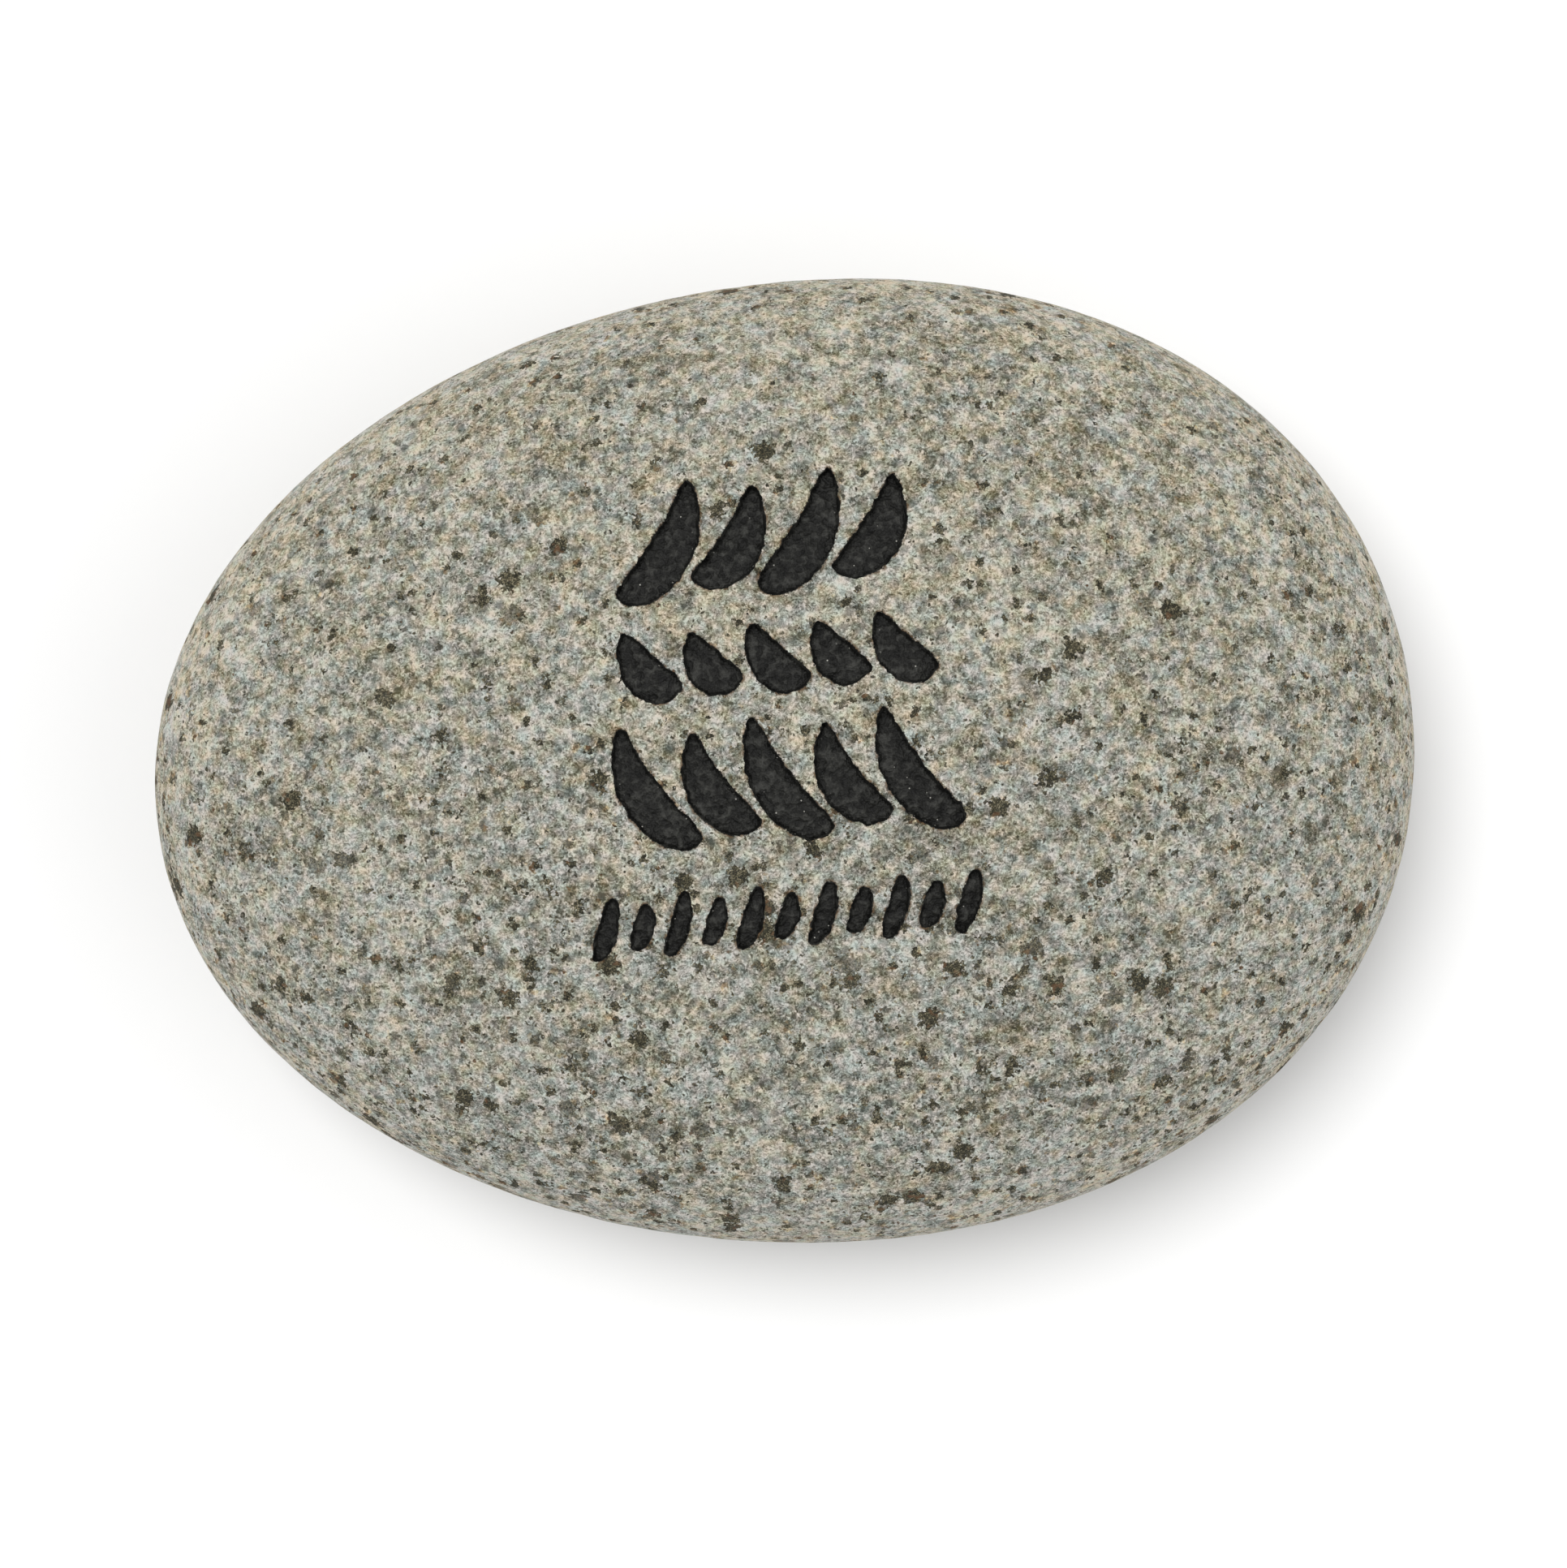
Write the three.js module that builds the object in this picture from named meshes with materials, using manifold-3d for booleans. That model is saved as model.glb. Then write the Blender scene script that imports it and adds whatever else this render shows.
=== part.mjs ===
// An engraved river pebble: one worn, fine-grained granite stone that lies on its flatter side, with
// rows of brush-like strokes cut into its upper face.
//
// Millimetres, +Z up. The origin is on the ground under the middle of the stone. +X runs along the
// stone towards its broader end, and +Y is up for someone who reads the rows of strokes.

import * as THREE from 'three';
import { mergeVertices } from 'three/addons/utils/BufferGeometryUtils.js';
import Module from 'manifold-3d';

// The stone
const length = 120;           // along X
const width = 91.4;           // along Y, at the middle of the length
const rimHeight = 20;         // the widest line of the stone, above the ground
const crownRise = 22;         // the upper face, above the widest line
const bellyDrop = 20.6;       // the underside, below the widest line, before its flat spot is worn off
const planPower = 2.05;       // 2 makes the plan an ellipse, and more makes it squarer
const domePower = 2.25;       // the same in side view
const broadening = 0.07;      // how much wider the +X end is, as a share of the width
const thickening = 0.03;      // how much thicker the +X end is, as a share of the height
const twist = 1.4;            // how far the widest line rises and dips between the ends and the sides
const swell = 0.35;           // the broad, soft unevenness of a stone worn by a river

// The carving
const strokeDepth = 1.2;      // how far the floor of a large stroke lies under the stone's face
const markDepth = 0.9;        // the same for the small marks of the lowest row
const rowSlope = 0.02;        // every row climbs a little towards +X
const ribbon = { tip: 0.55, heel: 0.3 };
const drop = { tip: 0.6, heel: 0.32 };
const mark = { tip: 0.4, heel: 0.36 };

// Rows from the top of the carving down. x and y are the middle of a row, lean is in degrees from
// upright, positive to the right, and every second stroke is shorter by the share that `shorter` gives.
const strokeRows = [
  { ...ribbon, count: 4, pitch: 6.4, x: -0.1, y: 20.6, long: 12.8, wide: 4.2, lean: 31, bow: 1.6, shorter: 0.82 },
  { ...drop, count: 5, pitch: 5.8, x: -0.5, y: 9.5, long: 7.6, wide: 3.9, lean: -38, bow: -0.9, shorter: 0.88 },
  { ...ribbon, count: 5, pitch: 6.0, x: -0.4, y: -1.7, long: 12.8, wide: 4.1, lean: -30, bow: -1.6, shorter: 0.82 },
];
const markRow =
  { ...mark, count: 11, pitch: 3.3, x: -0.6, y: -13.9, long: 6.1, wide: 1.95, lean: 19, bow: 0.3, shorter: 0.74 };

// How finely the faceted solid is cut
const turns = 72;             // facets around the stone
const crownRings = 13;        // rings from the top of the stone to its widest line
const bellyRings = 11;        // rings from there to the bottom
const strokeSteps = 9;        // steps along each side of a large stroke
const markSteps = 6;          // the same for a small mark

const wasm = await Module();
wasm.setup();

const signedPower = (value, power) => Math.sign(value) * Math.abs(value) ** power;

// A point of the stone. `turn` goes around it from +X, and `climb` goes from a quarter turn below the
// widest line to a quarter turn above it. In plan and in side view the stone is a superellipse.
function stonePoint(turn, climb) {
  const reach = Math.cos(climb) ** (2 / domePower);
  const along = reach * signedPower(Math.cos(turn), 2 / planPower);
  const across = reach * signedPower(Math.sin(turn), 2 / planPower) * (1 + broadening * along);
  const rise = climb > 0 ? crownRise : bellyDrop;
  const dome = rise * signedPower(Math.sin(climb), 2 / domePower) * (1 + thickening * along);
  const waves = Math.sin(3.1 * along + 1.7 * across) + Math.sin(3.7 * across - 2.3 * along + 2);
  const uneven = twist * along * across + swell * waves * (1 - reach * reach);
  return new THREE.Vector3(length / 2 * along, width / 2 * across, rimHeight + dome + uneven);
}

// The whole stone as a closed skin: rings of points from the crown to the bottom, with one point at
// each of the two poles. `lowered` moves it straight down.
function stoneSkin(lowered) {
  const rings = crownRings + bellyRings;
  const quarter = Math.PI / 2;
  const points = [stonePoint(0, quarter)];
  for (let ring = 1; ring < rings; ring += 1) {
    const climb = ring < crownRings
      ? quarter * (1 - ring / crownRings)
      : -quarter * (ring - crownRings) / bellyRings;
    for (let step = 0; step < turns; step += 1) {
      points.push(stonePoint(2 * Math.PI * step / turns, climb));
    }
  }
  points.push(stonePoint(0, -quarter));

  const bottom = points.length - 1;
  const at = (ring, step) => 1 + (ring - 1) * turns + step % turns;
  const faces = [];
  for (let step = 0; step < turns; step += 1) {
    faces.push(0, at(1, step), at(1, step + 1));
    for (let ring = 1; ring < rings - 1; ring += 1) {
      faces.push(at(ring, step), at(ring + 1, step), at(ring + 1, step + 1));
      faces.push(at(ring, step), at(ring + 1, step + 1), at(ring, step + 1));
    }
    faces.push(bottom, at(rings - 1, step + 1), at(rings - 1, step));
  }
  const geometry = new THREE.BufferGeometry().setFromPoints(points);
  geometry.setIndex(faces);
  geometry.translate(0, 0, -lowered);
  return geometry;
}

// The outline of one stroke: a bowed spine with a width that grows from a pointed upper tip, as a
// power of the way along, and closes over a blunt lower heel.
function strokeOutline({ x, y, long, wide, lean, bow, tip, heel, steps }) {
  const angle = THREE.MathUtils.degToRad(lean);
  const up = new THREE.Vector2(Math.sin(angle), Math.cos(angle));
  const side = new THREE.Vector2(up.y, -up.x);
  const widest = tip / (tip + heel);
  const edge = (share, sign) => {
    const half = wide / 2 * (share / widest) ** tip * ((1 - share) / (1 - widest)) ** heel;
    const sideways = bow * (4 * share * (1 - share) - 0.5) + sign * half;
    return new THREE.Vector2(x, y).addScaledVector(up, (0.5 - share) * long).addScaledVector(side, sideways);
  };
  const shares = Array.from({ length: steps + 1 }, (_, k) => (1 - Math.cos(Math.PI * k / steps)) / 2);
  const left = shares.map((share) => edge(share, -1));
  const right = shares.slice(1, -1).reverse().map((share) => edge(share, 1));
  return [...left, ...right];
}

// The outlines of one row. Its middle is at x, y, and every second stroke is a shorter one.
function rowOutlines({ count, pitch, x, y, long, shorter, ...shape }, steps) {
  return Array.from({ length: count }, (_, index) => {
    const shift = (index - (count - 1) / 2) * pitch;
    const size = index % 2 === 1 ? long * shorter : long;
    return strokeOutline({ ...shape, x: x + shift, y: y + shift * rowSlope, long: size, steps });
  });
}

// An upright prism on a stroke's outline, from inside the stone to above its crown.
function strokePrism(outline) {
  const geometry = new THREE.ExtrudeGeometry(new THREE.Shape(outline), {
    depth: crownRise + 10,
    bevelEnabled: false,
  });
  geometry.translate(0, 0, rimHeight);
  return geometry;
}

function toSolid(geometry) {
  const bare = geometry.clone();
  bare.deleteAttribute('normal');
  bare.deleteAttribute('uv');
  const merged = mergeVertices(bare, 1e-4);
  return new wasm.Manifold(new wasm.Mesh({
    numProp: 3,
    vertProperties: new Float32Array(merged.attributes.position.array),
    triVerts: new Uint32Array(merged.index.array),
  }));
}

function toGeometry(solid) {
  const mesh = solid.getMesh();
  const geometry = new THREE.BufferGeometry();
  geometry.setAttribute('position', new THREE.BufferAttribute(new Float32Array(mesh.vertProperties), 3));
  geometry.setIndex(new THREE.BufferAttribute(new Uint32Array(mesh.triVerts), 1));
  geometry.computeVertexNormals();
  return geometry;
}

// What the chisel takes out of one row: prisms on the outlines, down to a floor that follows the
// stone's own face at the given depth.
function rowCut(outlines, depth) {
  const prisms = outlines.map(strokePrism).map(toSolid);
  const together = prisms.reduce((sum, prism) => sum.add(prism));
  return together.subtract(toSolid(stoneSkin(depth)));
}

// The ground wears a small flat spot on the underside, so that the stone lies still.
function groundBlock() {
  const block = new THREE.BoxGeometry(length, width, 10);
  block.translate(0, 0, -5);
  return block;
}

function pebble() {
  let stone = toSolid(stoneSkin(0)).subtract(toSolid(groundBlock()));
  for (const row of strokeRows) {
    stone = stone.subtract(rowCut(rowOutlines(row, strokeSteps), strokeDepth));
  }
  stone = stone.subtract(rowCut(rowOutlines(markRow, markSteps), markDepth));
  const granite = new THREE.MeshStandardMaterial({ color: 0x98968a, roughness: 0.8, metalness: 0 });
  const mesh = new THREE.Mesh(toGeometry(stone), granite);
  mesh.name = 'pebble';
  return mesh;
}

const part = new THREE.Group();
part.add(pebble());

export default part;
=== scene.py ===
# An engraved river pebble, seen from straight above as it lies on a white floor.
#
# One piece: a worn granite stone with rows of brush-like strokes cut into its upper face and
# painted black. Shapes are worked out in millimetres and put into the meshes in metres.

import math

import bpy
import numpy as np
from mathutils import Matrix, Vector


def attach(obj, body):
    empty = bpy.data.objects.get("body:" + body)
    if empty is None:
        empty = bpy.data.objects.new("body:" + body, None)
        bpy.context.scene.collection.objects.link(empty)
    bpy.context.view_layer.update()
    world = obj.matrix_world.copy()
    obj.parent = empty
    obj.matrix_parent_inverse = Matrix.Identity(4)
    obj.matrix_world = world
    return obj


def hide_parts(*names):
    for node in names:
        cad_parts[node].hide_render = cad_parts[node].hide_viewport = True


MM = 0.001

# The stone, the same form as the solid's
LENGTH = 120.0
WIDTH = 91.4
RIM_HEIGHT = 20.0
CROWN_RISE = 22.0
BELLY_DROP = 20.6
PLAN_POWER = 2.05
DOME_POWER = 2.25
BROADENING = 0.07
THICKENING = 0.03
TWIST = 1.4
SWELL = 0.35

# The carving, the same rows as the solid's
ROW_SLOPE = 0.02
RIBBON = {"tip": 0.55, "heel": 0.3, "depth": 1.2}
DROP = {"tip": 0.6, "heel": 0.32, "depth": 1.2}
MARK = {"tip": 0.4, "heel": 0.36, "depth": 0.9}
ROWS = [
    {**RIBBON, "count": 4, "pitch": 6.4, "x": -0.1, "y": 20.6, "long": 12.8, "wide": 4.2,
     "lean": 31, "bow": 1.6, "shorter": 0.82},
    {**DROP, "count": 5, "pitch": 5.8, "x": -0.5, "y": 9.5, "long": 7.6, "wide": 3.9,
     "lean": -38, "bow": -0.9, "shorter": 0.88},
    {**RIBBON, "count": 5, "pitch": 6.0, "x": -0.4, "y": -1.7, "long": 12.8, "wide": 4.1,
     "lean": -30, "bow": -1.6, "shorter": 0.82},
    {**MARK, "count": 11, "pitch": 3.3, "x": -0.6, "y": -13.9, "long": 6.1, "wide": 1.95,
     "lean": 19, "bow": 0.3, "shorter": 0.74},
]
OUTLINE_STEPS = 22

# The mesh: a fine grid under the carving, and rings from its edge round to the underside
CARVED_X = (-18.6, 17.6)
CARVED_Y = (-19.0, 28.6)
CELL = 0.22
CROWN_RINGS = 34
BELLY_RINGS = 24
WALL = 0.22
FAR = 5.0

# How far across the granite's grains are, and the cells that its painted glints and the paint's pale
# specks lie in
COARSE_GRAIN = 1.05
MIDDLE_GRAIN = 0.5
FINE_GRAIN = 0.21
LATH = 0.40
FLECK_GRAIN = 0.30
GRIT = 0.14
SPOT_CELL = 0.5

# The dark flecks: the size of their cells, and the share of the cells that hold one
LARGE_FLECKS = (2.4, 0.11)
MEDIUM_FLECKS = (1.1, 0.20)
SMALL_FLECKS = (0.5, 0.18)

# The pale minerals' greys: how far up the tone's range each one is, and its usual 0 to 255 value.
# Cool and warm stone has so much more red, and so much more blue, than green
GREYS = [(0.0, 75), (0.18, 102), (0.36, 123), (0.5, 138), (0.64, 153), (0.82, 171), (1.0, 193)]
COOL = (-1.5, -6.5)
WARM = (7.5, -22.5)
RUSTY_TINT = (1.20, 0.97, 0.62, 1.0)
GREENISH_TINT = (0.93, 1.01, 1.01, 1.0)
PINKISH_TINT = (1.065, 0.99, 0.99, 1.0)

# The stone is painted paler so far over and under the rim, as painted light against the shade where it
# turns under. From so far behind its middle to as far in front of it, it grows cooler and has more and
# more flecks
RIM_REACH = 16.0
NEAR_REACH = 36.0

# The camera: a long lens straight above, turned so that the stone lies as in the photo
LENS = 100.0
SENSOR = 36.0
CAMERA_DISTANCE = 415.4
CAMERA_TURN = math.radians(-3.54)
CAMERA_RIGHT = -0.095
CAMERA_UP = -1.94

# The light. A sun's spread, its height over the floor and the side it comes from are in degrees
WORLD_STRENGTH = 0.56
SOFT_LIGHT = {"energy": 1.95, "spread": 28, "height": 72, "side": 138}
FILL_LIGHT = {"energy": 0.50, "spread": 60, "height": 40, "side": -10}

# Half the width of the floor
FLOOR_HALF = 3000.0


def signed_power(value, power):
    """The size of a number to a power, with the number's own sign."""
    return np.sign(value) * np.abs(value) ** power


def reach_of(along, across):
    """How far out a place is in plan, from 0 at the middle to 1 at the rim: the superellipse's own
    radius, in which across is first freed of the broadening towards the +X end."""
    freed = across / (1 + BROADENING * along)
    return (np.abs(along) ** PLAN_POWER + np.abs(freed) ** PLAN_POWER) ** (1 / PLAN_POWER)


def stone_height(along, across, reach, climb_sine):
    """Height of the skin: the rim's height, plus the dome, which is a superellipse in side view and
    a little thicker at +X, plus a twist of the rim line and two soft waves that fade at the rim."""
    rise = np.where(climb_sine > 0, CROWN_RISE, BELLY_DROP)
    dome = rise * signed_power(climb_sine, 2 / DOME_POWER) * (1 + THICKENING * along)
    waves = np.sin(3.1 * along + 1.7 * across) + np.sin(3.7 * across - 2.3 * along + 2)
    return RIM_HEIGHT + dome + TWIST * along * across + SWELL * waves * (1 - reach ** 2)


def crown_height(x, y):
    """Height of the uncut upper face above a place of the plan: the sine of the climb is what is
    left of 1 once the reach, to the dome's power, is taken away."""
    along = x / (LENGTH / 2)
    across = y / (WIDTH / 2)
    reach = reach_of(along, across)
    climb_sine = np.sqrt(np.clip(1 - reach ** DOME_POWER, 0, 1))
    return stone_height(along, across, reach, climb_sine)


def ring_points(heading_x, heading_y, climb):
    """Points of the skin at one climb for every heading: the reach is the climb's cosine to the
    power 2 / DOME_POWER, and it scales the heading, which is a point of the rim's own curve."""
    reach = np.cos(climb) ** (2 / DOME_POWER)
    along = reach * heading_x
    across = reach * heading_y * (1 + BROADENING * along)
    height = stone_height(along, across, reach, np.sin(climb))
    return np.stack([along * LENGTH / 2, across * WIDTH / 2, height], axis=-1)


def ripple(points, size, seed, count=28):
    """Seamless noise, about -1 to 1: the sum of many sine waves of about `size` millimetres that run
    in random directions with random starts."""
    random = np.random.default_rng(seed)
    direction = random.normal(size=(count, 3))
    direction /= np.linalg.norm(direction, axis=1, keepdims=True)
    direction *= 2 * math.pi / size * random.uniform(0.7, 1.4, size=(count, 1))
    start = random.uniform(0, 2 * math.pi, size=count)
    return np.sin(points @ direction.T + start).sum(axis=-1) / math.sqrt(2 * count)


def stroke_outline(x, y, long, wide, lean, bow, tip, heel):
    """A closed outline: a bowed spine with a width that grows from a pointed upper tip, as a power
    of the way along, and closes over a blunt lower heel."""
    share = (1 - np.cos(math.pi * np.arange(OUTLINE_STEPS + 1) / OUTLINE_STEPS)) / 2
    widest = tip / (tip + heel)
    half = wide / 2 * (share / widest) ** tip * ((1 - share) / (1 - widest)) ** heel
    angle = math.radians(lean)
    up = np.array([math.sin(angle), math.cos(angle)])
    side = np.array([up[1], -up[0]])
    spine = np.array([x, y]) + np.outer((0.5 - share) * long, up)
    spine = spine + np.outer(bow * (4 * share * (1 - share) - 0.5), side)
    left = spine - np.outer(half, side)
    right = spine + np.outer(half, side)
    return np.concatenate([left, right[-2:0:-1]])


def row_outlines(row):
    """The outlines of one row, side by side about its middle, every second one shorter."""
    outlines = []
    for index in range(row["count"]):
        shift = (index - (row["count"] - 1) / 2) * row["pitch"]
        long = row["long"] * (row["shorter"] if index % 2 else 1.0)
        outlines.append(stroke_outline(row["x"] + shift, row["y"] + shift * ROW_SLOPE, long, row["wide"],
                                       row["lean"], row["bow"], row["tip"], row["heel"]))
    return outlines


def edge_distance(x, y, outline):
    """Distance from every place to a closed outline, below zero inside it: the nearest point of every
    side is found at once, and a place is inside if a line to its right crosses the outline an odd
    number of times."""
    start = outline
    side = np.roll(outline, -1, axis=0) - start
    from_x = x[..., None] - start[:, 0]
    from_y = y[..., None] - start[:, 1]
    length_squared = (side ** 2).sum(axis=1)
    share = np.clip((from_x * side[:, 0] + from_y * side[:, 1]) / length_squared, 0, 1)
    distance = np.hypot(from_x - share * side[:, 0], from_y - share * side[:, 1]).min(axis=-1)
    end_y = start[:, 1] + side[:, 1]
    level = y[..., None]
    spans = (start[:, 1] > level) != (end_y > level)
    rise = np.where(side[:, 1] == 0, 1.0, side[:, 1])
    crossing_x = start[:, 0] + (level - start[:, 1]) * side[:, 0] / rise
    inside = (spans & (x[..., None] < crossing_x)).sum(axis=-1) % 2 == 1
    return np.where(inside, -distance, distance)


def carving(x, y):
    """Distance to the nearest stroke's edge, below zero inside it, and how deep that stroke is. The
    edges wander a little, as a blasted edge does."""
    nearest = np.full(x.shape, FAR)
    depth = np.zeros(x.shape)
    for row in ROWS:
        for outline in row_outlines(row):
            distance = edge_distance(x, y, outline)
            depth = np.where(distance < nearest, row["depth"], depth)
            nearest = np.minimum(nearest, distance)
    places = np.stack([x, y, np.zeros_like(x)], axis=-1)
    wander = 0.10 * ripple(places, 1.5, 11) + 0.06 * ripple(places, 0.6, 12)
    return nearest + wander, depth


def carved_patch():
    """The grid under the carving. Places within half a cell of a stroke's edge are moved onto it,
    against the slope of the distance, so that the edge is clean. Inside an edge the face drops by the
    stroke's depth over the width of the wall, to a floor with small lumps. Returns the points, the
    distances and the grid's shape."""
    across_cells = round((CARVED_X[1] - CARVED_X[0]) / CELL)
    up_cells = round((CARVED_Y[1] - CARVED_Y[0]) / CELL)
    x, y = np.meshgrid(np.linspace(*CARVED_X, across_cells + 1), np.linspace(*CARVED_Y, up_cells + 1))
    distance, depth = carving(x, y)
    slope_y, slope_x = np.gradient(distance, CELL)
    on_edge = np.abs(distance) < 0.5 * CELL
    x = np.where(on_edge, x - distance * slope_x, x)
    y = np.where(on_edge, y - distance * slope_y, y)
    distance = np.where(on_edge, 0.0, distance)

    places = np.stack([x, y, np.zeros_like(x)], axis=-1)
    lumps = 0.08 * ripple(places, 1.7, 21) + 0.045 * ripple(places, 0.8, 22)
    drop = np.clip(-distance / WALL, 0, 1)
    height = crown_height(x, y) - drop * (depth + lumps)
    return np.stack([x, y, height], axis=-1).reshape(-1, 3), distance.ravel(), x.shape


def patch_rim(shape):
    """The patch's outer points in order, anticlockwise from its lower left corner."""
    number = np.arange(shape[0] * shape[1]).reshape(shape)
    return np.concatenate([number[0, :-1], number[:-1, -1], number[-1, :0:-1], number[:0:-1, 0]])


def headings_of(points):
    """Where on the rim's curve each point heads to, and its climb above the rim."""
    along = points[:, 0] / (LENGTH / 2)
    across = points[:, 1] / (WIDTH / 2)
    reach = reach_of(along, across)
    heading_y = across / (1 + BROADENING * along) / reach
    return along / reach, heading_y, np.arccos(reach ** (DOME_POWER / 2))


def worn(points):
    """Wear: soft dents up to a tenth of a millimetre deep, pushed in towards the stone's middle line,
    and nothing below the ground, where the stone has its flat spot."""
    dents = 0.5 + 0.25 * (ripple(points, 7.0, 31) + 0.6 * ripple(points, 3.2, 32))
    outward = points - np.array([0.0, 0.0, RIM_HEIGHT])
    outward = outward / np.array([LENGTH, WIDTH, CROWN_RISE * 2]) ** 2
    outward /= np.linalg.norm(outward, axis=1, keepdims=True)
    points = points - outward * (0.10 * np.clip(dents, 0, 1))[:, None]
    points[:, 2] = np.maximum(points[:, 2], 0)
    return points


def pebble_mesh():
    """The stone's closed skin: the carved patch, then rings from its edge over the rim and in under
    the stone, each a step further round in climb, and one point at the bottom. It keeps the distance
    to the nearest stroke's edge as an attribute, for the paint."""
    patch, distance, shape = carved_patch()
    rim = patch_rim(shape)
    heading_x, heading_y, climb = headings_of(patch[rim])
    rings = []
    for ring in range(1, CROWN_RINGS + 1):
        rings.append(ring_points(heading_x, heading_y, climb * (1 - ring / CROWN_RINGS)))
    for ring in range(1, BELLY_RINGS):
        below = np.full(len(rim), -math.pi / 2 * ring / BELLY_RINGS)
        rings.append(ring_points(heading_x, heading_y, below))
    bottom = ring_points(np.zeros(1), np.zeros(1), np.full(1, -math.pi / 2))
    points = worn(np.concatenate([patch, *rings, bottom]))

    number = np.arange(shape[0] * shape[1]).reshape(shape)
    cells = [number[:-1, :-1], number[:-1, 1:], number[1:, 1:], number[1:, :-1]]
    faces = [np.stack(cells, axis=-1).reshape(-1, 4)]
    inner = rim
    for ring in range(len(rings)):
        outer = len(patch) + ring * len(rim) + np.arange(len(rim))
        faces.append(np.stack([inner, outer, np.roll(outer, -1), np.roll(inner, -1)], axis=1))
        inner = outer
    closing = np.stack([inner, np.full(len(rim), len(points) - 1), np.roll(inner, -1)], axis=1)

    mesh = bpy.data.meshes.new("pebble_stone")
    mesh.from_pydata((points * MM).tolist(), [], np.concatenate(faces).tolist() + closing.tolist())
    mesh.shade_smooth()
    mesh.set_sharp_from_angle(angle=math.radians(35))
    cut = mesh.attributes.new("cut", "FLOAT", "POINT")
    cut.data.foreach_set("value", np.concatenate([distance, np.full(len(points) - len(patch), FAR)]))
    return mesh


def place(tree, kind, inputs=None, **settings):
    """A shader node, with its settings, and a value or a link on each input that is named."""
    made = tree.nodes.new(kind)
    for name, value in settings.items():
        setattr(made, name, value)
    for name, value in (inputs or {}).items():
        if isinstance(value, bpy.types.NodeSocket):
            tree.links.new(value, made.inputs[name])
        else:
            made.inputs[name].default_value = value
    return made


def calc(tree, operation, first, second=0.0, third=0.0, clamp=False):
    """One step of arithmetic."""
    inputs = {0: first, 1: second, 2: third}
    return place(tree, "ShaderNodeMath", inputs, operation=operation, use_clamp=clamp).outputs[0]


def scaled(tree, vector, factor):
    """A vector times a number."""
    return place(tree, "ShaderNodeVectorMath", {0: vector, "Scale": factor}, operation="SCALE").outputs[0]


def fade(tree, value, low, high, start=0.0, end=1.0, shape="SMOOTHSTEP"):
    """Goes from start to end while the value goes from low to high."""
    inputs = {"Value": value, "From Min": low, "From Max": high, "To Min": start, "To Max": end}
    return place(tree, "ShaderNodeMapRange", inputs, interpolation_type=shape).outputs[0]


def mixed(tree, share, first, second, kind="MIX"):
    """The first colour, with a share of the second over it."""
    inputs = {0: share, 6: first, 7: second}
    return place(tree, "ShaderNodeMix", inputs, data_type="RGBA", blend_type=kind).outputs[2]


def noise(tree, point, size, detail, roughness=0.5):
    """Soft noise around 0.5, with lumps of about `size` millimetres."""
    inputs = {"Vector": point, "Scale": 1 / size, "Detail": detail, "Roughness": roughness}
    return place(tree, "ShaderNodeTexNoise", inputs).outputs


def grains(tree, point, size):
    """Grains about `size` millimetres across: each one's three random numbers, and the grain's own
    colour, its middle's position and how far from that a place is."""
    grain = place(tree, "ShaderNodeTexVoronoi", {"Vector": point, "Scale": 1 / size}).outputs
    return place(tree, "ShaderNodeSeparateColor", {0: grain["Color"]}).outputs, grain


def bent(tree, point, size, amount, detail):
    """Places pushed about by noise, which makes the grains' borders ragged."""
    swing = {0: noise(tree, point, size, detail)["Color"], 1: (0.5, 0.5, 0.5)}
    push = place(tree, "ShaderNodeVectorMath", swing, operation="SUBTRACT").outputs[0]
    moved = {0: point, 1: scaled(tree, push, amount)}
    return place(tree, "ShaderNodeVectorMath", moved, operation="ADD").outputs[0]


def shade(red, green, blue):
    """A colour as a shader takes it, from its usual 0 to 255 values."""
    def linear(value):
        value /= 255
        return value / 12.92 if value <= 0.04045 else ((value + 0.055) / 1.055) ** 2.4
    return (linear(red), linear(green), linear(blue), 1.0)


def stops(tree, value, colours):
    """A colour ramp through (position, colour) pairs."""
    made = place(tree, "ShaderNodeValToRGB", {0: value})
    elements = made.color_ramp.elements
    elements.remove(elements[0])
    elements[0].position, elements[0].color = colours[0]
    for position, colour in colours[1:]:
        elements.new(position).color = colour
    return made.outputs[0]


def tinted_greys(tree, tone, red, blue):
    """The greys as a ramp, with so much red and blue over their green."""
    return stops(tree, tone, [(at, shade(grey + red, grey, grey + blue)) for at, grey in GREYS])


def added(tree, value, parts):
    """The value, plus each part's swing about its middle of 0.5, times its weight."""
    for part, weight in parts:
        value = calc(tree, "ADD", value, calc(tree, "MULTIPLY_ADD", part, weight, -0.5 * weight))
    return value


def regions(tree, point):
    """Two shares of the stone: from 0 on the crown to 1 at the rim and back to 0.4 on the underside,
    and from 0 at the far side, +Y, to 1 at the near side."""
    axes = place(tree, "ShaderNodeSeparateXYZ", {0: point}).outputs
    above = fade(tree, axes["Z"], RIM_HEIGHT + RIM_REACH, RIM_HEIGHT)
    below = fade(tree, axes["Z"], RIM_HEIGHT, RIM_HEIGHT - RIM_REACH, 1.0, 0.4)
    return calc(tree, "MULTIPLY", above, below), fade(tree, axes["Y"], NEAR_REACH, -NEAR_REACH)


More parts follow.
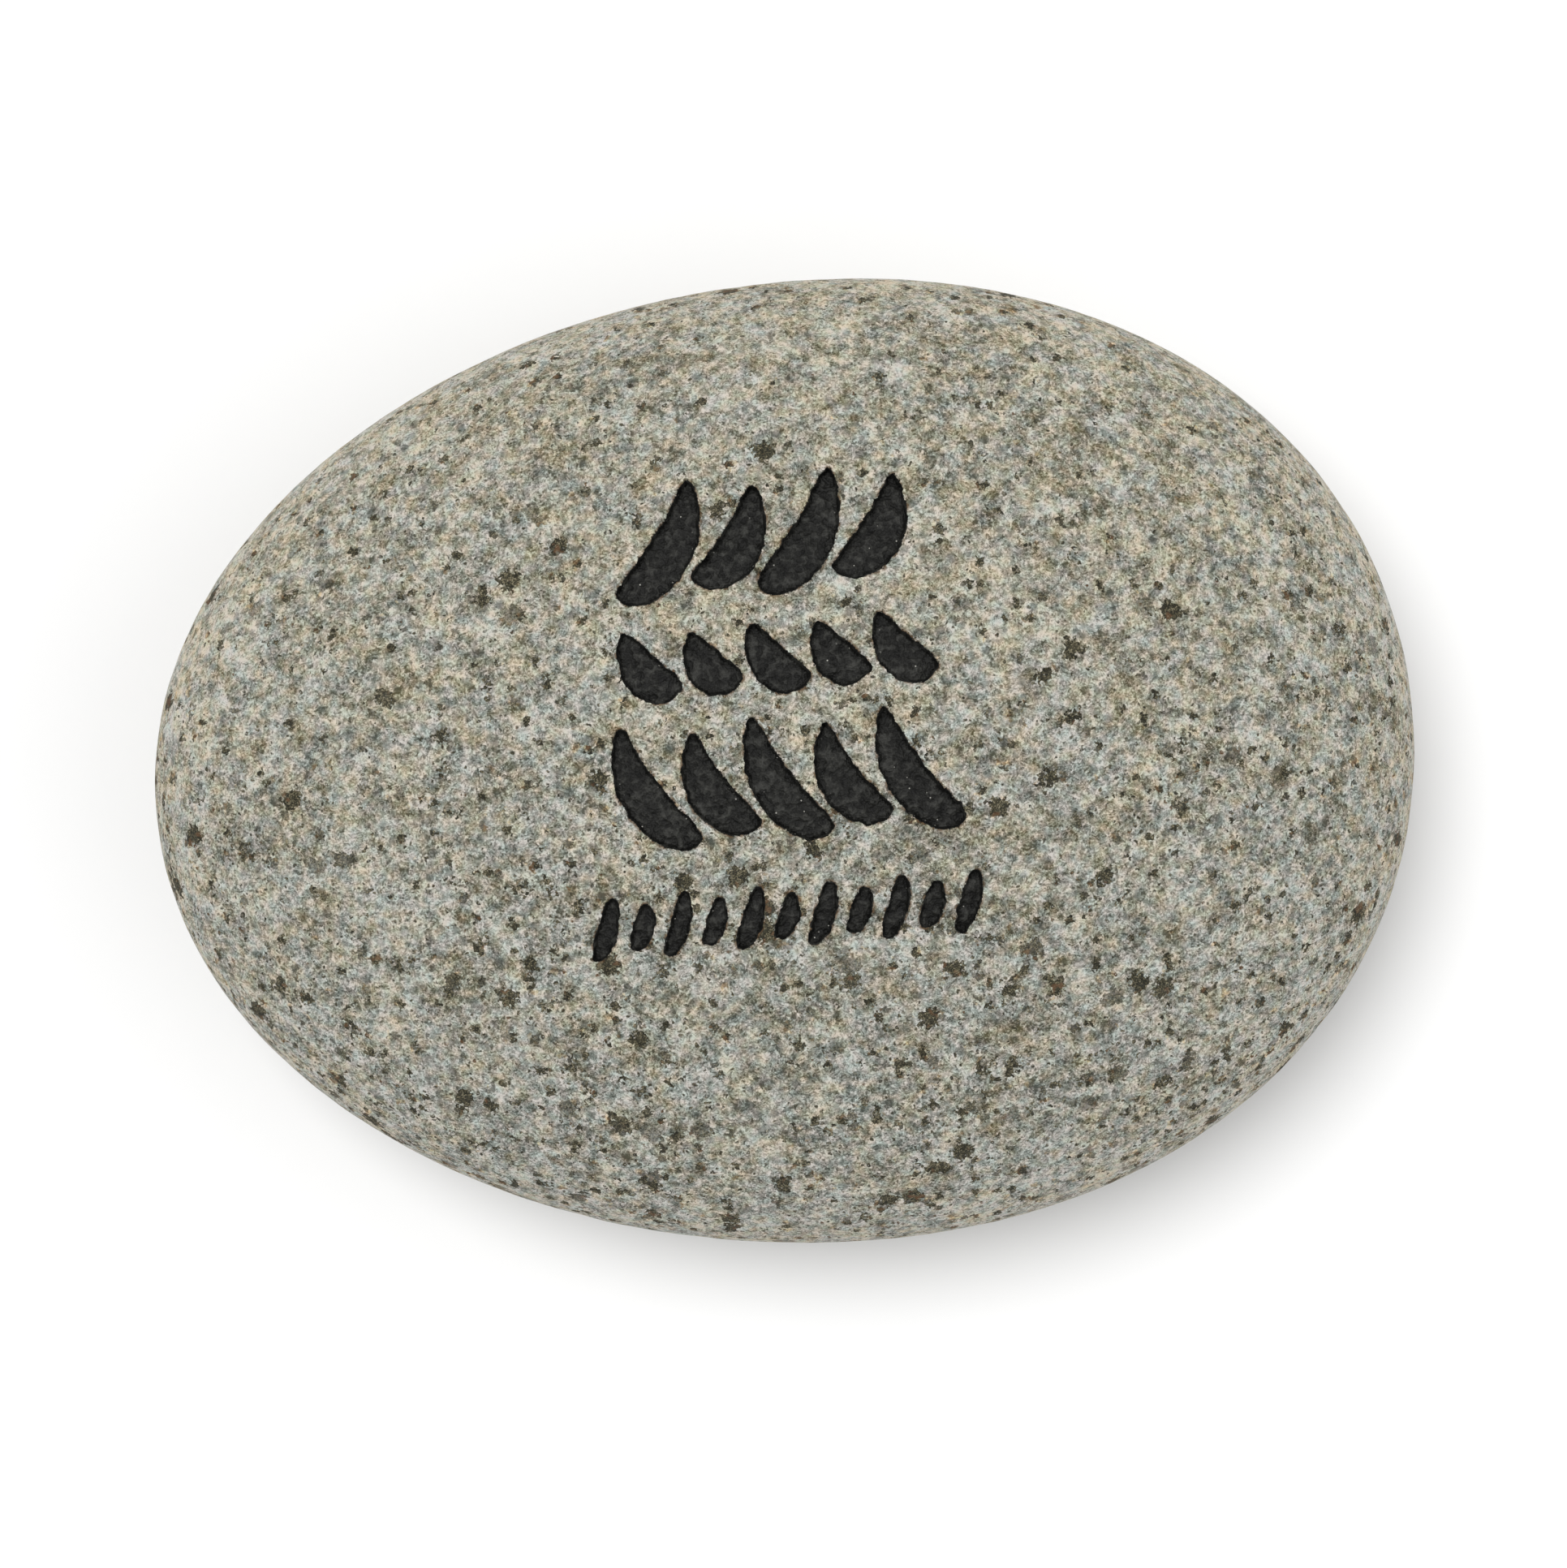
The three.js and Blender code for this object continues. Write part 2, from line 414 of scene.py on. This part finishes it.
def pale_minerals(tree, point, grit, rim, near):
    """Cream and grey feldspar with blue-grey quartz. The tone is the sum of random numbers of coarse,
    middle and fine grains, of laths that lie another way in each middle grain, and of cloudy noise.
    Quartz grains are darker, bluer and plainer inside. One hue drifts from cool to warm over one to
    three millimetres, and another from greenish to pinkish over less than one. The rim is warmer, and
    it is painted paler as painted light against the shade where the stone turns under; the near side is
    cooler."""
    ragged = bent(tree, point, 0.26, 0.36, 2.0)
    coarse, coarse_grain = grains(tree, ragged, COARSE_GRAIN)
    middle, middle_grain = grains(tree, ragged, MIDDLE_GRAIN)
    fine, _ = grains(tree, bent(tree, point, 0.12, 0.14, 0.0), FINE_GRAIN)
    turn = {"Vector": point, "Rotation": scaled(tree, middle_grain["Color"], 2 * math.pi)}
    turned = place(tree, "ShaderNodeVectorRotate", turn, rotation_type="EULER_XYZ").outputs[0]
    squeeze = {"Vector": turned, "Scale": (1.0, 3.0, 1.0)}
    laths = noise(tree, place(tree, "ShaderNodeMapping", squeeze).outputs[0], LATH, 1.0, 0.6)["Fac"]
    cloud = noise(tree, point, 3.0, 3.0, 0.8)["Fac"]

    inner = fade(tree, coarse_grain["Distance"], 0.56, 0.25)
    quartz = calc(tree, "MULTIPLY", fade(tree, coarse[2], 0.70, 0.78), inner)
    texture = added(tree, 0.0, [(fine[0], 0.48), (laths, 1.60), (grit, 0.80)])
    texture = calc(tree, "MULTIPLY", texture, calc(tree, "MULTIPLY_ADD", quartz, -0.5, 1.0))
    tone = added(tree, texture, [(coarse[0], 0.30), (middle[0], 0.44), (cloud, 1.40)])
    # Painted light: the rim, and less of the underside, made paler against the shade where the stone turns
    # under
    tone = calc(tree, "MULTIPLY_ADD", rim, 0.27, tone)
    tone = calc(tree, "ADD", calc(tree, "MULTIPLY_ADD", quartz, -0.20, tone), 0.57)

    drift = noise(tree, point, 1.1, 0.0)["Fac"]
    patches = noise(tree, point, 2.8, 1.0)["Fac"]
    warmth = added(tree, 0.39, [(drift, 1.3), (patches, 1.7), (coarse[1], 0.10), (near, -0.24)])
    warmth = calc(tree, "MULTIPLY_ADD", rim, 0.10, warmth)
    warmth = calc(tree, "MULTIPLY_ADD", quartz, -0.20, warmth, clamp=True)
    colour = mixed(tree, warmth, tinted_greys(tree, tone, *COOL), tinted_greys(tree, tone, *WARM))

    rosy = calc(tree, "MULTIPLY_ADD", rim, 0.06, noise(tree, point, 0.75, 0.0)["Fac"])
    rosy = fade(tree, rosy, 0.28, 0.72, shape="LINEAR")
    return mixed(tree, 1.0, colour, mixed(tree, rosy, GREENISH_TINT, PINKISH_TINT), "MULTIPLY")


def flecks(tree, point, kind, crowding):
    """Round spots in a share of the cells of one size, and more of them where it is crowded: how far
    inside a spot a place is, in cells, and how dense the spot is."""
    size, share = kind
    numbers, cell = grains(tree, point, size)
    chance = calc(tree, "ADD", numbers[0], crowding)
    radius = fade(tree, chance, 0.97 - share, 1.02 - share, -0.3, 0.43)
    inside = calc(tree, "SUBTRACT", radius, cell["Distance"])
    return inside, fade(tree, numbers[1], 0.0, 0.6, 0.55, 0.97)


def dark_minerals(tree, point, grit, rim, near):
    """Olive-black flecks in three sizes, in places more of them than in others. The large and medium
    ones are clusters of small dark grains, so that their edges are blocky: each small grain is dark if
    its middle is inside the fleck. Some flecks are rusty, most of them at the rim. Returns the colour,
    where it lies, and a halo of rust on the pale stone round some flecks."""
    crowding = added(tree, 0.0, [(noise(tree, point, 14.0, 1.0)["Fac"], 0.3), (near, 0.17)])
    ragged = bent(tree, point, 0.45, 0.7, 2.0)
    numbers, grain = grains(tree, ragged, FLECK_GRAIN)
    crumbs = calc(tree, "MULTIPLY_ADD", numbers[0], 0.24, -0.12)
    large, large_dense = flecks(tree, grain["Position"], LARGE_FLECKS, crowding)
    medium, medium_dense = flecks(tree, grain["Position"], MEDIUM_FLECKS, crowding)
    small, small_dense = flecks(tree, ragged, SMALL_FLECKS, crowding)
    rust = added(tree, noise(tree, point, 0.9, 1.0)["Fac"], [(rim, 0.14)])
    halo = calc(tree, "MULTIPLY", fade(tree, medium, -0.28, -0.04), fade(tree, rust, 0.50, 0.64, 0.0, 0.6))

    large = fade(tree, calc(tree, "ADD", large, crumbs), -0.03, 0.03)
    medium = fade(tree, calc(tree, "ADD", medium, crumbs), -0.06, 0.06)
    small = fade(tree, small, -0.06, 0.20)
    where = calc(tree, "MULTIPLY", large, large_dense)
    where = calc(tree, "MAXIMUM", where, calc(tree, "MULTIPLY", medium, medium_dense))
    where = calc(tree, "MAXIMUM", where, calc(tree, "MULTIPLY", small, small_dense))

    mottle = added(tree, 0.44, [(numbers[2], 0.6), (grit, 2.6)])
    colour = stops(tree, mottle, [(0.0, shade(30, 29, 22)), (0.4, shade(52, 50, 38)),
                                  (0.75, shade(84, 79, 60)), (1.0, shade(128, 121, 100))])
    rusty = fade(tree, rust, 0.54, 0.66, 0.0, 0.6)
    return mixed(tree, rusty, colour, shade(102, 74, 52)), where, halo


def granite(tree, point, chance, spot):
    """The stone's colour: the pale minerals, a halo of rust, the dark flecks, and small glints that are
    painted highlights.
    """
    rim, near = regions(tree, point)
    grit = noise(tree, point, GRIT, 1.0, 0.8)["Fac"]
    stone = pale_minerals(tree, point, grit, rim, near)
    dark, dark_where, halo = dark_minerals(tree, point, grit, rim, near)
    stone = mixed(tree, halo, stone, RUSTY_TINT, "MULTIPLY")
    stone = mixed(tree, dark_where, stone, dark)
    # Painted highlights: small glints of light put into the stone's colour as pale spots
    painted_glint = fade(tree, spot["Distance"], 0.12, 0.06)
    painted_glint = calc(tree, "MULTIPLY", painted_glint, calc(tree, "GREATER_THAN", chance[0], 0.86))
    return mixed(tree, calc(tree, "MULTIPLY", painted_glint, 0.7), stone, shade(216, 215, 209))


def black_paint(tree, lumpy, chance, spot):
    """The paint's colour: black, made lighter on its lumps as painted highlights, with a few small pale
    specks.
    """
    # Painted highlights: the paint is lighter where its lumps rise
    paint = stops(tree, lumpy, [
        (0.3, shade(16, 16, 15)), (0.5, shade(28, 28, 26)), (0.7, shade(58, 58, 55))])
    # Small pale specks on the paint
    pale_speck = fade(tree, spot["Distance"], 0.18, 0.08)
    pale_speck = calc(tree, "MULTIPLY", pale_speck, fade(tree, chance[1], 0.86, 1.0, 0.0, 0.9))
    return mixed(tree, pale_speck, paint, shade(190, 188, 180))


def engraved_granite():
    """The granite, and black paint wherever the cut distance is below zero, with a ragged edge and a
    brown stain here and there along it. The stone is rough, and the paint has a slight shine."""
    material = bpy.data.materials.new("engraved_granite")
    material.use_nodes = True
    tree = material.node_tree
    tree.nodes.clear()
    point = scaled(tree, place(tree, "ShaderNodeTexCoord").outputs["Object"], 1 / MM)
    cut = place(tree, "ShaderNodeAttribute", attribute_name="cut").outputs["Fac"]
    lumpy = noise(tree, point, 0.8, 2.0, 0.6)["Fac"]
    chance, spot = grains(tree, point, SPOT_CELL)

    stain = calc(tree, "MULTIPLY", fade(tree, cut, 0.30, 0.0, 0.0, 0.8), fade(tree, lumpy, 0.46, 0.60))
    stone = mixed(tree, stain, granite(tree, point, chance, spot), shade(92, 70, 48))
    ragged = calc(tree, "MULTIPLY_ADD", noise(tree, point, 0.22, 1.0, 0.6)["Fac"], 0.20, -0.10)
    painted = fade(tree, calc(tree, "ADD", cut, ragged), 0.01, -0.03)

    relief = calc(tree, "MULTIPLY_ADD", lumpy, 6.0, noise(tree, point, 0.20, 1.0, 0.7)["Fac"])
    bump = place(tree, "ShaderNodeBump", {"Height": relief, "Strength": 0.7, "Distance": 0.10 * MM})
    finish = place(tree, "ShaderNodeBsdfPrincipled", {
        "Base Color": mixed(tree, painted, stone, black_paint(tree, lumpy, chance, spot)),
        "Roughness": calc(tree, "MULTIPLY_ADD", painted, -0.30, 0.85),
        "Normal": bump.outputs[0],
        "Specular IOR Level": 0.15,
    })
    place(tree, "ShaderNodeOutputMaterial", {"Surface": finish.outputs[0]})
    return material


def make_pebble():
    """The stone, in place of the solid."""
    mesh = pebble_mesh()
    mesh.materials.append(engraved_granite())
    pebble = bpy.data.objects.new("pebble_stone", mesh)
    bpy.context.scene.collection.objects.link(pebble)
    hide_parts("pebble")
    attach(pebble, "root")


def make_camera():
    """A long lens straight above the stone. The frame's middle is a little off the stone's."""
    camera = bpy.data.objects.new("camera", bpy.data.cameras.new("camera"))
    camera.data.lens = LENS
    camera.data.sensor_width = SENSOR
    camera.data.sensor_fit = "HORIZONTAL"
    right = Vector((math.cos(CAMERA_TURN), math.sin(CAMERA_TURN), 0))
    up = Vector((-math.sin(CAMERA_TURN), math.cos(CAMERA_TURN), 0))
    place_mm = CAMERA_RIGHT * right + CAMERA_UP * up + Vector((0, 0, RIM_HEIGHT + CAMERA_DISTANCE))
    camera.location = place_mm * MM
    camera.rotation_euler = (0, 0, CAMERA_TURN)
    bpy.context.scene.collection.objects.link(camera)
    bpy.context.scene.camera = camera


def make_floor():
    """A plain white floor, wide enough to fill low views too."""
    half = FLOOR_HALF * MM
    corners = [(-half, -half, 0), (half, -half, 0), (half, half, 0), (-half, half, 0)]
    mesh = bpy.data.meshes.new("floor")
    mesh.from_pydata(corners, [], [(0, 1, 2, 3)])
    material = bpy.data.materials.new("floor_white")
    material.use_nodes = True
    finish = material.node_tree.nodes["Principled BSDF"]
    finish.inputs["Base Color"].default_value = (0.87, 0.87, 0.87, 1.0)
    finish.inputs["Roughness"].default_value = 0.9
    finish.inputs["Specular IOR Level"].default_value = 0.0
    mesh.materials.append(material)
    floor = bpy.data.objects.new("floor", mesh)
    bpy.context.scene.collection.objects.link(floor)


def add_sun(name, energy, spread, height, side):
    """A broad light from far away: how wide it looks, its height over the floor and the side it comes
    from, in degrees. The side turns with the camera."""
    sun = bpy.data.objects.new(name, bpy.data.lights.new(name, "SUN"))
    sun.data.energy = energy
    sun.data.angle = math.radians(spread)
    height = math.radians(height)
    side = math.radians(side) + CAMERA_TURN
    level = math.cos(height)
    towards = Vector((level * math.cos(side), level * math.sin(side), math.sin(height)))
    sun.rotation_euler = towards.to_track_quat("Z", "Y").to_euler()
    bpy.context.scene.collection.objects.link(sun)


def make_light():
    """White light from all round, a soft light from the upper left and a weak one from the right."""
    world = bpy.data.worlds.new("studio")
    world.use_nodes = True
    background = world.node_tree.nodes["Background"]
    background.inputs["Color"].default_value = (1.0, 1.0, 1.0, 1.0)
    background.inputs["Strength"].default_value = WORLD_STRENGTH
    bpy.context.scene.world = world
    add_sun("soft_light", **SOFT_LIGHT)
    add_sun("fill_light", **FILL_LIGHT)


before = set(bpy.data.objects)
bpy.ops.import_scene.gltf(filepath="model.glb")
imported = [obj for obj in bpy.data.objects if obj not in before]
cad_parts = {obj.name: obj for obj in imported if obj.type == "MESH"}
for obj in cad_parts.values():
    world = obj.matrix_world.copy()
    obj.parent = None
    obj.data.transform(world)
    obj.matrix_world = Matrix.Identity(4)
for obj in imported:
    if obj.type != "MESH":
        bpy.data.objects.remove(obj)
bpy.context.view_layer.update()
bpy.context.scene.view_settings.view_transform = "Standard"
make_camera()
make_floor()
make_light()
make_pebble()
